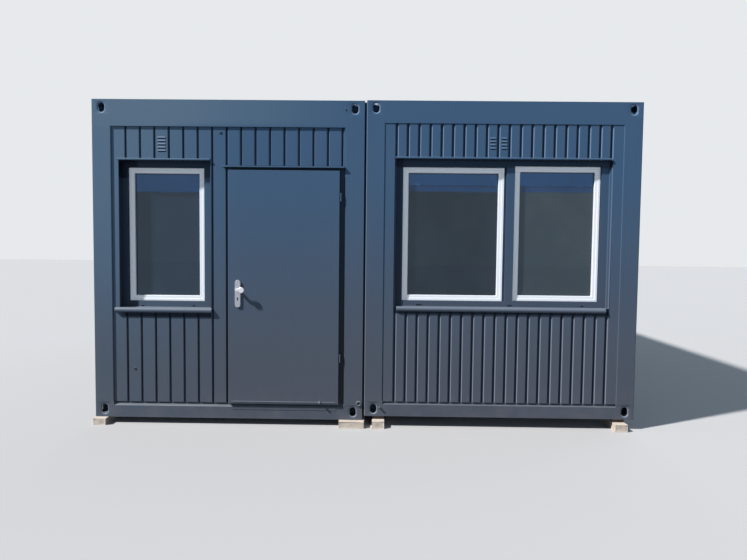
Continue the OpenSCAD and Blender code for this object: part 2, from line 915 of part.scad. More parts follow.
module door_jambs() {
    color(steel)
        at_module(0) {
            span([jamb_left, open_x], [jamb_set, jamb_set + jamb_d], [left_rail_h, open_top]);
            span([open_x + open_w, module_w - left_post_w], [jamb_set, jamb_set + jamb_d],
                [left_rail_h, open_top]);
        }
}

module door_head() {
    color(steel)
        at_module(0)
            span([jamb_left, module_w - left_post_w], [jamb_set, jamb_set + jamb_d],
                [open_top, open_top + head_h]);
}

module door_threshold() {
    color([0.6, 0.6, 0.6])
        at_module(0)
            span([open_x, open_x + open_w], [jamb_set, jamb_set + jamb_d],
                [left_rail_h, left_rail_h + threshold_h]);
}

// Its left end lies on the wall beside the door, the rest on the head of the door frame.
module door_rain_strip() {
    color(steel)
        at_module(0)
            difference() {
                translate([door_x - 58, 0, strip_z])
                    rotate([90, 0, 90])
                        linear_extrude(module_w - left_post_w - door_x + 57)
                            strip_profile(jamb_set, door_strip_out, door_strip_h);
                span([0, jamb_left], [left_set, jamb_set + 1], [strip_z - 1, strip_z + door_strip_h + 1]);
            }
}

// Fixed half of each hinge: the lower knuckle, its pin and the flap that holds it to the door frame.
module fixed_hinges() {
    color(dark_steel)
        at_module(0)
            for (z = [hinge_low, hinge_high])
                translate([hinge_x, hinge_y, z]) {
                    translate([0, 0, -knuckle_h])
                        cylinder(r = knuckle_r, h = knuckle_h);
                    cylinder(r = pin_r, h = knuckle_h - 6);
                    translate([-flap_t / 2, 0, -knuckle_h])
                        cube([flap_t, jamb_set - hinge_y, knuckle_h]);
                }
}

module leaf_hinges() {
    color(dark_steel)
        at_module(0)
            for (z = [hinge_low, hinge_high])
                translate([hinge_x, hinge_y, z + 1])
                    difference() {
                        union() {
                            cylinder(r = knuckle_r, h = knuckle_h);
                            translate([-knuckle_r - knuckle_gap, -flap_t / 2, 0])
                                cube([knuckle_r + knuckle_gap, flap_t, knuckle_h]);
                        }
                        translate([0, 0, -1])
                            cylinder(r = pin_r + pin_gap, h = knuckle_h - 5);
                    }
}

module door_leaf() {
    color(steel)
        at_module(0) {
            difference() {
                union() {
                    translate([door_x, leaf_front, door_z])
                        rounded_box(door_w, leaf_front_t, door_h, leaf_round, hinge_round);
                    span([door_x + leaf_lap, door_x + door_w - leaf_lap], [leaf_y, leaf_y + leaf_core_t],
                        [door_z + leaf_lap, door_z + door_h - leaf_lap]);
                }
                translate([door_x - 1, leaf_front, door_z])
                    rotate([90, 0, 90])
                        linear_extrude(door_w + 2)
                            corner(foot_round);
                translate([door_x + plate_in, leaf_front - 1, plate_z + neck_up - lock_down])
                    rotate([-90, 0, 0])
                        cylinder(r = 8.5, h = leaf_front_t + leaf_core_t + 2);
            }
        }
}

// Long handle plate with round ends and a stepped rim.
module handle_plate() {
    color([0.8, 0.81, 0.82])
        at_module(0)
            translate([door_x + plate_in, leaf_front, plate_z])
                rotate([90, 0, 0])
                    difference() {
                        union() {
                            linear_extrude(plate_t - 3)
                                oval(plate_w, plate_h);
                            linear_extrude(plate_t)
                                oval(plate_w - 6, plate_h - 6);
                        }
                        translate([0, neck_up - lock_down, -1])
                            cylinder(r = 8.5, h = plate_t + 2);
                    }
}

// Fixed knob on a cranked neck.
module door_knob() {
    color([0.8, 0.81, 0.82])
        at_module(0)
            translate([door_x + plate_in, leaf_front - plate_t, plate_z + neck_up])
                rotate([90, 0, 0]) {
                    cylinder(r = 13, h = knob_stand - 6);
                    hull() {
                        translate([0, 0, knob_stand - 6])
                            cylinder(r = 13, h = 8);
                        translate([knob_off, -4, knob_stand - 4])
                            cylinder(r = 12, h = 10);
                    }
                    translate([knob_off, -4, knob_stand])
                        rotate_extrude()
                            polygon([[0, 0], [knob_r - 6, 0], [knob_r, 5], [knob_r, knob_t - 6],
                                [knob_r - 5, knob_t - 1], [0, knob_t]]);
                }
}

// Lock cylinder through the leaf and the outer plate.
module lock_cylinder() {
    color([0.75, 0.76, 0.78])
        at_module(0)
            translate([door_x + plate_in, leaf_front - plate_t - 1, plate_z + neck_up - lock_down])
                rotate([-90, 0, 0])
                    cylinder(r = 8.2, h = leaf_front_t + leaf_core_t + plate_t + 2);
}

// Inner plate and lever.
module inner_handle() {
    color([0.8, 0.81, 0.82])
        at_module(0)
            translate([door_x + plate_in, leaf_y + leaf_core_t, plate_z])
                rotate([-90, 0, 0]) {
                    difference() {
                        linear_extrude(plate_t - 3)
                            oval(plate_w - 10, plate_h);
                        translate([0, -neck_up + lock_down, -1])
                            cylinder(r = 8.5, h = plate_t + 2);
                    }
                    translate([0, -neck_up, plate_t - 3])
                        cylinder(r = 10, h = 42);
                    translate([0, -neck_up, plate_t + 29])
                        rotate([0, 90, 0])
                            cylinder(r = 9, h = lever_l);
                }
}

foundation_blocks();
timber_packing();
corner_castings();
corner_posts();
floor_rails();
roof_beams();
floor_decks();
ceilings();
roof_sheets();
joint_covers();
left_window_wall();
over_door_wall();
right_window_wall();
left_side_wall();
right_side_wall();
rear_walls();
front_linings();
side_linings();
rear_linings();
left_window_surround();
right_window_surround();
left_window_frame();
wide_window_frame();
narrow_window_frame();
window_glass();
window_sills();
window_rain_strips();
vents();
door_jambs();
door_head();
door_threshold();
door_rain_strip();
fixed_hinges();
door_leaf();
leaf_hinges();
handle_plate();
door_knob();
lock_cylinder();
inner_handle();
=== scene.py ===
"""Dresses the container cabin: painted steel, white windows, door fittings, blocks and studio."""

import math

import bmesh
import bpy
from mathutils import Matrix, Vector, noise


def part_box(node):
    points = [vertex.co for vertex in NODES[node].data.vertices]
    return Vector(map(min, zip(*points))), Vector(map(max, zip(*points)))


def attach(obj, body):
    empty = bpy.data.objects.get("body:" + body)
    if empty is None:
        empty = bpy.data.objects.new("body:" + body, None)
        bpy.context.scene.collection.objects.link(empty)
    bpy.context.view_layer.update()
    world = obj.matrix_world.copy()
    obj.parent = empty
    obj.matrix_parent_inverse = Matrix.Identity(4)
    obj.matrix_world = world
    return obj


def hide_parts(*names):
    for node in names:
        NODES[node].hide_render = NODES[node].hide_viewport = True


bl_info = {
    "name": "Container cabin",
    "version": (1, 0, 0),
    "blender": (4, 5, 0),
    "location": "View3D > Sidebar > Cabin",
    "description": "Dresses a double container cabin and sets up its studio",
    "category": "Object",
}

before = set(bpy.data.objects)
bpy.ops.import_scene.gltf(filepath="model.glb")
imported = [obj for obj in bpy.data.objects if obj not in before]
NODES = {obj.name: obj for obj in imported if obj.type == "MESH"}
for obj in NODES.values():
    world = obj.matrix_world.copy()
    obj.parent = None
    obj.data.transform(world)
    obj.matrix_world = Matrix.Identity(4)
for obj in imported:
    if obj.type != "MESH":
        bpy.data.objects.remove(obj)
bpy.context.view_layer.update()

# Measures, in metres

FRONT, BACK = (corner.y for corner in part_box("corner_castings"))
LEFT_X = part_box("corner_castings")[0].x
MODULE_W, POST_ROUND, CASTING_H = 2.435, 0.008, 0.140
GLASS_DEPTH = 0.032  # from a window frame's face back to its outer pane

# Pairs: the left container's measure, then the right one's.
LEFTS = (LEFT_X, -LEFT_X - MODULE_W)
FOOT, TOP = (0.060, 0.100), (2.920, 2.925)
BEAM_H, POST_W, RAIL_LIP = (0.235, 0.197), (0.171, 0.165), (0.1252, 0.1187)
VENT_LIP_Y = (FRONT + 0.0135, FRONT + 0.0055)

# Each window recess: its left side, its top and its depth.
RECESSES = ((LEFTS[0] + 0.230, 2.386, 0.084), (LEFTS[1] + 0.262, 2.418, 0.045))
# The walls below the windows: their hole's lower edge, and how far under it the sill's painted
# shadow is full and where it ends.
UNDER_SILLS = {
    "left_window_wall": (1.060, 0.074, 0.092),
    "right_window_wall": (1.098, 0.056, 0.070),
}

# Colours of age and dirt, and of painted light

# Paler paint: a painted sheen of the sky on the left side, and the paler tone along the left roof
# beam.
PAINTED_SHEEN = (0.080, 0.136, 0.200)
# Painted highlights, lower down and higher up.
HIGHLIGHT_LOW, HIGHLIGHT_HIGH = (0.16, 0.18, 0.22), (0.13, 0.19, 0.29)
# Dust on faces that look up, paler also as their painted sheen.
DUST_AND_SHEEN = (0.36, 0.37, 0.38)
# Painted shade, in grooves, under sills, on the rails' lips and in the recesses.
PAINTED_SHADE = (0.003, 0.009, 0.022)
PLASTIC_GRIME = (0.55, 0.53, 0.50)
GLASS_FILM = (0.25, 0.24, 0.22)
SHEET_DIRT = (0.32, 0.30, 0.27)


# Settings


class CabinPaint(bpy.types.PropertyGroup):
    """Colours of the cabin's finishes."""

    steel: bpy.props.FloatVectorProperty(
        name="Steel paint, upper part",
        description="Blue-grey paint as it looks towards the roof",
        default=(0.041, 0.091, 0.166),
        subtype="COLOR",
        min=0,
        max=1,
    )
    steel_low: bpy.props.FloatVectorProperty(
        name="Steel paint, lower part",
        description="The same paint where dust greys it",
        default=(0.069, 0.081, 0.105),
        subtype="COLOR",
        min=0,
        max=1,
    )
    dust: bpy.props.FloatVectorProperty(
        name="Dust",
        description="Fine dust on the lower parts",
        default=(0.42, 0.31, 0.25),
        subtype="COLOR",
        min=0,
        max=1,
    )
    plastic: bpy.props.FloatVectorProperty(
        name="Window plastic",
        description="White window frames",
        default=(0.78, 0.80, 0.84),
        subtype="COLOR",
        min=0,
        max=1,
    )
    concrete: bpy.props.FloatVectorProperty(
        name="Concrete",
        description="Blocks under the corners",
        default=(0.56, 0.475, 0.40),
        subtype="COLOR",
        min=0,
        max=1,
    )
    glass: bpy.props.FloatVectorProperty(
        name="Glass tint",
        description="Dark tint of the double glazing",
        default=(0.004, 0.006, 0.009),
        subtype="COLOR",
        min=0,
        max=1,
    )


class CabinSizes(bpy.types.PropertyGroup):
    """Sizes of the rounded edges and of the windows' members."""

    fold: bpy.props.FloatProperty(
        name="Wall folds",
        description="Radius of the ribbed walls' folds; the sharper ones have half of it",
        default=0.004,
        min=0.0005,
        max=0.006,
        unit="LENGTH",
    )
    trim: bpy.props.FloatProperty(
        name="Trim edges",
        description="Edge radius of sills, rain strips, recesses and door frame",
        default=0.0015,
        min=0.0002,
        max=0.003,
        unit="LENGTH",
    )
    fitting: bpy.props.FloatProperty(
        name="Fitting edges",
        description="Edge radius of vents, door leaf, handle plate, knob and inner lever",
        default=0.0012,
        min=0.0002,
        max=0.002,
        unit="LENGTH",
    )
    board: bpy.props.FloatProperty(
        name="Board edges",
        description="Edge radius of boards, joint covers, apron and hinges",
        default=0.001,
        min=0.0002,
        max=0.002,
        unit="LENGTH",
    )
    case: bpy.props.FloatProperty(
        name="Window case",
        description="Width of a window's fixed case",
        default=0.023,
        min=0.015,
        max=0.03,
        unit="LENGTH",
    )
    sash: bpy.props.FloatProperty(
        name="Window sash",
        description="Width of a window's sash",
        default=0.028,
        min=0.02,
        max=0.04,
        unit="LENGTH",
    )
    pane: bpy.props.FloatProperty(
        name="Glass pane",
        description="Thickness of one pane of the double glazing",
        default=0.004,
        min=0.003,
        max=0.006,
        unit="LENGTH",
    )


class CabinStudio(bpy.types.PropertyGroup):
    """Light and floor."""

    key: bpy.props.FloatProperty(
        name="Key light",
        description="Strength of the key light",
        default=6.1,
        min=0,
        max=20,
    )
    fill: bpy.props.FloatProperty(
        name="Fill",
        description="Strength of the light from all round",
        default=0.28,
        min=0,
        max=3,
    )
    floor: bpy.props.FloatVectorProperty(
        name="Floor",
        description="Colour of the studio floor",
        default=(0.44, 0.43, 0.425),
        subtype="COLOR",
        min=0,
        max=1,
    )


# Shader maths


class Wire:
    """A shader socket that can stand in Python expressions."""

    def __init__(self, sheet, socket):
        self.sheet, self.socket = sheet, socket

    def _with(self, operation, first, second):
        return self.sheet.add("ShaderNodeMath", {"operation": operation}, {0: first, 1: second})

    def __add__(self, other):
        return self._with("ADD", self, other)

    __radd__ = __add__

    def __sub__(self, other):
        return self._with("SUBTRACT", self, other)

    def __rsub__(self, other):
        return self._with("SUBTRACT", other, self)

    def __mul__(self, other):
        return self._with("MULTIPLY", self, other)

    __rmul__ = __mul__


class Sheet:
    """A node tree, with one method that adds any node."""

    # A Mix node's sockets when it mixes colours.
    MIX_FACTOR, MIX_FIRST, MIX_SECOND, MIX_RESULT = 0, 6, 7, 2

    def __init__(self, tree):
        self.tree = tree

    def set(self, socket, value):
        """Links a wire to a socket, or gives the socket a value."""
        if isinstance(value, Wire):
            self.tree.links.new(value.socket, socket)
        elif socket.type == "RGBA":
            socket.default_value = (*value, 1)
        else:
            socket.default_value = value

    def add(self, kind, settings=None, sockets=None, out=0):
        """Adds a node: its type, its settings, then the values or wires of its sockets."""
        node = self.tree.nodes.new(kind)
        for key, value in (settings or {}).items():
            setattr(node, key, value)
        for key, value in (sockets or {}).items():
            self.set(node.inputs[key], value)
        return Wire(self, node.outputs[out])

    def mix(self, factor, first, second):
        """Mixes two colours."""
        sockets = {self.MIX_FACTOR: factor, self.MIX_FIRST: first, self.MIX_SECOND: second}
        return self.add("ShaderNodeMix", {"data_type": "RGBA"}, sockets, self.MIX_RESULT)

    def seen(self):
        """1 where the camera looks, also by way of metal or glass, and 0 for all other light."""
        kinds = ("Is Camera Ray", "Is Glossy Ray", "Is Transmission Ray")
        seen, *others = [self.add("ShaderNodeLightPath", out=kind) for kind in kinds]
        for ray in others:
            seen = self.add("ShaderNodeMath", {"operation": "MAXIMUM"}, {0: seen, 1: ray})
        return seen


class Finish(Sheet):
    """One material's node tree."""

    def __init__(self, name):
        self.material = bpy.data.materials.new(name)
        self.material.use_nodes = True
        super().__init__(self.material.node_tree)
        self.shader = self.tree.nodes["Principled BSDF"]
        self.places = self.add("ShaderNodeTexCoord", out="Object")

    def axis(self, letter, vector=None):
        """One coordinate of a vector, or of the place on the cabin."""
        return self.add("ShaderNodeSeparateXYZ", {}, {0: vector or self.places}, letter)

    def stretch(self, x, y, z):
        """The place on the cabin, multiplied along each axis."""
        multiply = {"operation": "MULTIPLY"}
        return self.add("ShaderNodeVectorMath", multiply, {0: self.places, 1: (x, y, z)})

    def grain(self, scale, detail=3.0, rough=0.5, at=None):
        """Soft noise, 0 to 1."""
        sockets = {"Scale": scale, "Detail": detail, "Roughness": rough}
        return self.add("ShaderNodeTexNoise", {}, {"Vector": at or self.places, **sockets})

    def cells(self, scale, out):
        """Cells with random colours, and the distance to their centres."""
        sockets = {"Vector": self.places, "Scale": scale}
        return self.add("ShaderNodeTexVoronoi", {"feature": "F1"}, sockets, out)

    def ramp(self, value, low, high, first=0.0, last=1.0):
        """Goes softly from first to last while the value goes from low to high."""
        return self.add(
            "ShaderNodeMapRange",
            {"clamp": True, "interpolation_type": "SMOOTHSTEP"},
            {"Value": value, "From Min": low, "From Max": high, "To Min": first, "To Max": last},
        )

    def bump(self, value, strength, distance):
        """A surface normal from heights."""
        sockets = {"Height": value, "Strength": strength, "Distance": distance}
        return self.add("ShaderNodeBump", {}, sockets, "Normal")

    def finish(self, **sockets):
        """Sets the shader's own sockets."""
        for key, value in sockets.items():
            self.set(self.shader.inputs[key.replace("_", " ")], value)
        return self.material


def times(colour, factor, lift=0.0):
    """A colour made darker or paler."""
    return tuple(min(1, c * factor + lift) for c in colour)


# Finishes


def painted_steel(name, high, low, dust, tone=1.0, recess=False):
    """Sprayed steel: orange peel, tone by height, rain streaks, dust with a painted sheen on top,
    painted highlights on folds and marked parts, and painted shade in grooves and marked places.
    In a window recess painted shade lies along its top and its left side."""
    s = Finish(name)
    x, z = s.axis("X"), s.axis("Z")
    upwards = s.axis("Z", s.add("ShaderNodeNewGeometry", out="Normal"))
    grime_and_shade, painted_highlight, painted_shadow = (
        s.add("ShaderNodeAttribute", {"attribute_name": mark_name}, out="Fac")
        for mark_name in ("grime_and_shade", "painted_highlight", "painted_shadow")
    )
    high, low = times(high, tone), times(low, tone)

    # The paint itself, paler to the left as a painted sheen of the sky, and paler along the left
    # roof beam.
    left_sheen = s.ramp(x, -1.0, -2.3) * s.ramp(z, 0.3, 2.5, 0.12, 0.85)
    left_beam = s.ramp(x, 0.0, -1.1) * s.ramp(z, 2.66, 2.74) * 0.7
    fresh = s.mix(s.ramp(z, 0.35, 2.6), low, high)
    paint = s.mix(left_sheen + left_beam, fresh, times(PAINTED_SHEEN, tone))

    # Rain streaks, pale clouds, dust on the foot and in specks, and dust on faces that look up,
    # which also paints their sheen.
    clouds = s.grain(0.7, 3)
    streaks = s.grain(1.0, 4, 0.6, s.stretch(24, 24, 0.6))
    wear_and_highlight = s.ramp(streaks, 0.5, 0.78) * 0.05 + s.ramp(clouds, 0.4, 0.75) * 0.06
    pale = s.mix(wear_and_highlight, paint, times(low, 1.5, 0.03))
    foot = s.ramp(z, 0.5, 0.08) * s.ramp(s.grain(6, 4, 0.6), 0.3, 0.75) * 0.07
    specks = s.ramp(s.grain(150, 2), 0.68, 0.76) * 0.04
    dusty = s.mix(foot + specks, pale, dust)
    dust_and_sheen = s.ramp(upwards, 0.15, 0.8) * s.ramp(s.grain(5, 3), 0.2, 0.6, 0.18, 0.30)
    topped = s.mix(dust_and_sheen * s.ramp(x, -0.6, 0.4, 1.0, 0.55), dusty, DUST_AND_SHEEN)

    # Painted highlights: lighter folds beside the grooves, and the parts marked with a painted
    # highlight.
    folds = s.ramp(grime_and_shade, 0.02, 0.2) * s.ramp(grime_and_shade, 0.95, 0.75) * 0.7 + painted_highlight
    highlight_colour = s.mix(s.ramp(z, 0.8, 2.4), HIGHLIGHT_LOW, HIGHLIGHT_HIGH)
    highlighted = s.mix(folds, topped, highlight_colour)

    # Painted shade: groove beds, the marked places under the sills and on the rails' lips, and in a
    # recess its top and left side.
    shade_amount = s.ramp(grime_and_shade, 0.9, 0.99) * s.ramp(s.grain(3, 4), 0.2, 0.8, 0.85, 1.0) + painted_shadow
    if recess:
        shade_amount = shade_amount + recess_shade_and_seam(s, x, z)
    peel = s.grain(420, 2) * 0.6 + s.grain(34, 3) * 0.4
    return s.finish(
        Base_Color=s.mix(shade_amount, highlighted, times(PAINTED_SHADE, tone)),
        Roughness=s.ramp(clouds, 0.3, 0.7, 0.48, 0.56) + foot * 0.8,
        Normal=s.bump(peel, 0.08, 0.002),
        Specular_IOR_Level=0.15,
    )


def recess_shade_and_seam(s, x, z):
    """Painted shade along the top and the left side of both recesses, as far as the key light's
    shadow reaches, and a dark seam line painted at the right one's right side."""
    y, edge = s.axis("Y"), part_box("right_window_surround")[1].x
    right_side = s.ramp(x, edge - 0.024, edge - 0.020)
    middle = s.ramp(y, FRONT + 0.034, FRONT + 0.030) * s.ramp(y, FRONT + 0.016, FRONT + 0.020)
    grime_and_shade = right_side * middle * 0.5
    # How far the painted shade reaches, as the key light's shadow runs.
    reach_x, reach_z = 2.0, 2.1  # in depths of the recess
    soft_from, soft_to = 0.015, 0.04
    for side, (left, top, deep) in enumerate(RECESSES):
        own = s.ramp(x, -0.1, 0.1, 1.0 - side, side)
        inner_x, inner_z = left + deep * reach_x, top - deep * reach_z
        beside = s.ramp(x, inner_x - soft_from, inner_x - soft_to)
        under = s.ramp(z, inner_z + soft_from, inner_z + soft_to)
        grime_and_shade = grime_and_shade + own * (beside + under) * 0.68
    return grime_and_shade


def white_plastic(name, colour):
    """Smooth white plastic with faint grime and a fine matt grain."""
    s = Finish(name)
    grime_and_shade = s.ramp(s.grain(7, 3, 0.5), 0.52, 0.8) * 0.05
    return s.finish(
        Base_Color=s.mix(grime_and_shade, colour, PLASTIC_GRIME),
        Roughness=s.ramp(s.grain(30, 3), 0.3, 0.7, 0.34, 0.37),
        Normal=s.bump(s.grain(300, 2), 0.004, 0.001),
        IOR=1.8,
        Specular_IOR_Level=1.0,
        Specular_Tint=(0.89, 0.93, 0.99),
        Coat_Weight=s.ramp(s.grain(12, 3), 0.3, 0.7, 0.86, 0.84),
    )


def dark_glass(name, tint, member):
    """Tinted double glazing: dark and glossy, with a painted reflection of the sky as a blue band
    along the top, darker where the sun falls on it, a painted reflection of its own in each pane
    and a thin film of dust. A member's width is that of case and sash."""
    narrow_reflection, left_reflection = (0.028, 0.037, 0.043), (0.012, 0.020, 0.033)
    painted_sky_in_shade, painted_sky_in_sun = (0.014, 0.11, 0.31), (0.003, 0.030, 0.105)
    patch_tint = (0.020, 0.030, 0.040)
    s = Finish(name)
    x, z = s.axis("X"), s.axis("Z")
    left_top, right_top = (
        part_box(node)[1].z - member for node in ("left_window_frame", "narrow_window_frame")
    )
    film = s.ramp(s.grain(2.6, 5, 0.6), 0.42, 0.8)
    patches = s.ramp(s.grain(1.6, 3, 0.5, s.stretch(1.5, 1, 0.8)), 0.38, 0.66)
    wavy = z + s.grain(3, 2) * 0.02 - 0.01
    right = s.ramp(x, -0.1, 0.1)
    left = 1 - right
    left_sky_band = s.ramp(wavy, left_top - 0.180, left_top - 0.155)
    right_sky_band = s.ramp(wavy, right_top - 0.186, right_top - 0.170)
    sky_band = left * left_sky_band + right * right_sky_band
    sunlit_part = right * s.ramp(z, right_top - 0.117, right_top - 0.124)
    tone = s.mix(sky_band, tint, s.mix(sunlit_part, painted_sky_in_shade, painted_sky_in_sun))
    tone = s.mix(patches * 0.25, tone, patch_tint)
    tone = s.mix(s.ramp(x, 1.30, 1.40) * (1 - sky_band), tone, narrow_reflection)
    tone = s.mix(left * (1 - sky_band), tone, left_reflection)
    return s.finish(
        Base_Color=s.mix(film * 0.03, tone, GLASS_FILM),
        Roughness=film * 0.04 + 0.02,
        Alpha=film * 0.04 + 0.92,
        Specular_IOR_Level=0.85,
        Specular_Tint=(0.60, 0.80, 1.0),
    )


def rough_concrete(name, colour):
    """Cast concrete: sandy grain, pores and damp stains."""
    s = Finish(name)
    sand = s.grain(120, 4, 0.6)
    stain = s.ramp(s.grain(8, 5), 0.4, 0.75)
    pits = s.ramp(s.cells(70.0, "Distance"), 0.16, 0.05)
    tone = s.mix(stain * 0.5, colour, times(colour, 0.72))
    tone = s.mix(s.ramp(sand, 0.45, 0.7) * 0.3, tone, times(colour, 1.2))
    tone = s.mix(pits * 0.6, tone, times(colour, 0.4))
    return s.finish(
        Base_Color=tone,
        Roughness=s.ramp(sand, 0.3, 0.7, 0.82, 0.95),
        Normal=s.bump(sand - pits * 0.8, 0.5, 0.004),
    )


def brushed_metal(name, colour, rough=0.3):
    """Satin metal with fine upright brushing and a few dull patches."""
    s = Finish(name)
    lines = s.grain(1.0, 3, 0.6, s.stretch(900, 900, 40))
    dull = s.ramp(s.grain(25, 4), 0.45, 0.75)
    return s.finish(
        Base_Color=s.mix(dull * 0.25, colour, times(colour, 0.75)),
        Metallic=s.ramp(dull, 0.0, 1.0, 0.95, 0.85),
        Roughness=s.ramp(lines, 0.3, 0.7, rough - 0.05, rough + 0.08),
        Normal=s.bump(lines, 0.06, 0.0005),
    )


def rubber(name, shade=1.0):
    """Black window gasket; with less shade, the painted shade of an opening."""
    s = Finish(name)
    black, wear_and_highlight = times((0.012, 0.012, 0.013), shade), times((0.05, 0.05, 0.05), shade)
    return s.finish(
        Base_Color=s.mix(s.ramp(s.grain(40, 4), 0.4, 0.8) * 0.4, black, wear_and_highlight),
        Roughness=s.ramp(s.grain(90, 2), 0.3, 0.7, 0.5, 0.7),
        Specular_IOR_Level=0.5 * shade,
    )


def lining_board(name, colour):
    """Laminated lining board with board joints every 1.2 m and a faint wood print."""
    s = Finish(name)
    half_board = 0.6
    along = {0: s.axis("X") + s.axis("Y"), 1: half_board}
    line = s.ramp(s.add("ShaderNodeMath", {"operation": "PINGPONG"}, along), 0.004, 0.001)
    figure = s.grain(1.0, 4, 0.6, s.stretch(30, 30, 2.0))
    tone = s.mix(s.ramp(figure, 0.35, 0.7) * 0.22, colour, times(colour, 0.8))
    return s.finish(
        Base_Color=s.mix(line * 0.7, tone, times(colour, 0.3)),
        Roughness=s.ramp(figure, 0.3, 0.7, 0.42, 0.55),
        Normal=s.bump(figure * 0.2 - line, 0.2, 0.002),
    )


def vinyl(name, colour):
    """Flecked vinyl floor, scuffed in places."""
    s = Finish(name)
    flecks = s.ramp(s.grain(140, 3, 0.7), 0.56, 0.62)
    wear_and_highlight = s.ramp(s.grain(1.6, 4), 0.45, 0.75)
    tone = s.mix(flecks * 0.5, colour, times(colour, 1.7))
    return s.finish(
        Base_Color=s.mix(wear_and_highlight * 0.3, tone, times(colour, 0.7)),
        Roughness=s.ramp(wear_and_highlight, 0.0, 1.0, 0.4, 0.6),
        Normal=s.bump(s.grain(200, 2), 0.08, 0.001),
    )


def zinc_sheet(name, colour):
    """Galvanised roof sheet with spangle, water marks and dust."""
    s = Finish(name)
    spangle = s.add("ShaderNodeRGBToBW", {}, {0: s.cells(45.0, "Color")})
    marks = s.ramp(s.grain(2.2, 6, 0.65), 0.42, 0.72)
    tone = s.mix(spangle * 0.25, colour, times(colour, 1.25))
    return s.finish(
        Base_Color=s.mix(marks * 0.45, tone, SHEET_DIRT),
        Metallic=s.ramp(marks, 0.0, 1.0, 0.30, 0.08),
        Roughness=spangle * 0.08 + s.ramp(marks, 0.0, 1.0, 0.66, 0.82),
        Specular_IOR_Level=0.2,
        Normal=s.bump(spangle * 0.3 + marks * 0.3, 0.08, 0.001),
    )


def old_timber(name, furrow, ridge):
    """Weathered packing timber with long grain and checks."""
    s = Finish(name)
    lines = s.grain(1.0, 4, 0.7, s.stretch(6, 90, 90))
    return s.finish(
        Base_Color=s.mix(s.ramp(lines, 0.3, 0.7), furrow, ridge),
        Roughness=s.ramp(lines, 0.3, 0.7, 0.95, 0.8),
        Normal=s.bump(lines, 0.4, 0.002),
    )


def studio_floor(name, colour):
    """Plain floor: pale to look at, duller in the light that it throws up."""
    s = Finish(name)
    tone = s.mix(s.seen(), times(colour, 0.3), colour)
    return s.finish(Base_Color=tone, Roughness=0.9, Specular_IOR_Level=0.1)


def finishes():
    """Every material by its name, made once."""
    paint, sizes = bpy.context.scene.cabin_paint, bpy.context.scene.cabin_sizes
    if "painted steel" not in bpy.data.materials:
        steel = paint.steel, paint.steel_low, paint.dust
        painted_steel("painted steel", *steel)
        # Recess steel: the paint a little darker, as painted shade in the recesses, with more
        # painted shade along their tops and left sides.
        painted_steel("recess steel", *steel, tone=0.86, recess=True)
        # Dark steel: a shaded copy of the paint, used as painted shade on the door's jambs and
        # head.
        painted_steel("dark steel", *steel, tone=0.34)
        white_plastic("white plastic", paint.plastic)
        dark_glass("dark glass", paint.glass, sizes.case + sizes.sash)
        rough_concrete("rough concrete", paint.concrete)
        brushed_metal("satin metal", (0.46, 0.48, 0.53))
        brushed_metal("knob metal", (0.74, 0.74, 0.78), rough=0.42)
        brushed_metal("screw metal", (0.5, 0.5, 0.52), rough=0.36)
        rubber("gasket rubber")
        rubber("painted opening shade", shade=0.12)
        old_timber("old timber", (0.045, 0.035, 0.026), (0.13, 0.105, 0.08))
        lining_board("lining board", (0.72, 0.70, 0.65))
        lining_board("ceiling board", (0.78, 0.78, 0.76))
        vinyl("vinyl floor", (0.24, 0.24, 0.235))
        zinc_sheet("zinc sheet", (0.34, 0.355, 0.37))
    return bpy.data.materials


# Mesh tools


def piece(name, mesh, material, body="cabin", stands_for=()):
    """Links a mesh as a piece with its finish, on its body."""
    shown = bpy.data.objects.new(name, mesh)
    bpy.context.scene.collection.objects.link(shown)
    mesh.materials.clear()
    mesh.materials.append(finishes()[material])
    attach(shown, body)
    if stands_for:
        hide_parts(*stands_for)
    return shown


def fold_edges(shown, radius):
    """Rounds the edges that turn by more than 28 degrees and evens the shading."""
    bevel = shown.modifiers.new("folds", "BEVEL")
    bevel.width, bevel.segments = radius, 2
    bevel.limit_method, bevel.angle_limit = "ANGLE", math.radians(28)
    bevel.harden_normals = True
    return even_shading(shown, sharp_from=180)


def even_shading(shown, sharp_from=30):
    """Smooth shading up to an angle in degrees, with flat faces kept flat."""
    shown.data.shade_smooth()
    shown.data.set_sharp_from_angle(angle=math.radians(sharp_from))
    even = shown.modifiers.new("even", "WEIGHTED_NORMAL")
    even.keep_sharp = True
    return shown


def reshaped(mesh, change):
    """Runs a change on a mesh's points, edges and faces, and writes the result back."""
    work = bmesh.new()
    work.from_mesh(mesh)
    change(work)
    work.to_mesh(mesh)
    work.free()
    return mesh


def from_node(node):
    """A clean copy of a node's mesh: doubles welded, flat triangles joined."""

    def clean(work):
        flat = math.radians(1)
        bmesh.ops.remove_doubles(work, verts=work.verts, dist=1e-5)
        bmesh.ops.dissolve_limit(work, angle_limit=flat, verts=work.verts, edges=work.edges)
        bmesh.ops.connect_verts_concave(work, faces=work.faces)

    return reshaped(NODES[node].data.copy(), clean)


def rounded(node, name, material, radius, body="cabin"):
    """Stands for a node: the same shape with folded edges."""
    return fold_edges(piece(name, from_node(node), material, body, (node,)), radius)


def mark(shown, name, measure):
    """Marks the mesh for its finish (painted shade in grooves, painted highlight or painted
    shadow): measure gives 0 to 1 for a point.
    """
    layer = shown.data.attributes.new(name, "FLOAT", "POINT")
    layer.data.foreach_set("value", [measure(point.co) for point in shown.data.vertices])


def cut_across(shown, z):
    """Adds a level line of points to a mesh, without a change of shape."""

    def cut(work):
        everything = [*work.verts, *work.edges, *work.faces]
        bmesh.ops.bisect_plane(work, geom=everything, plane_co=(0, 0, z), plane_no=(0, 0, 1))

    reshaped(shown.data, cut)


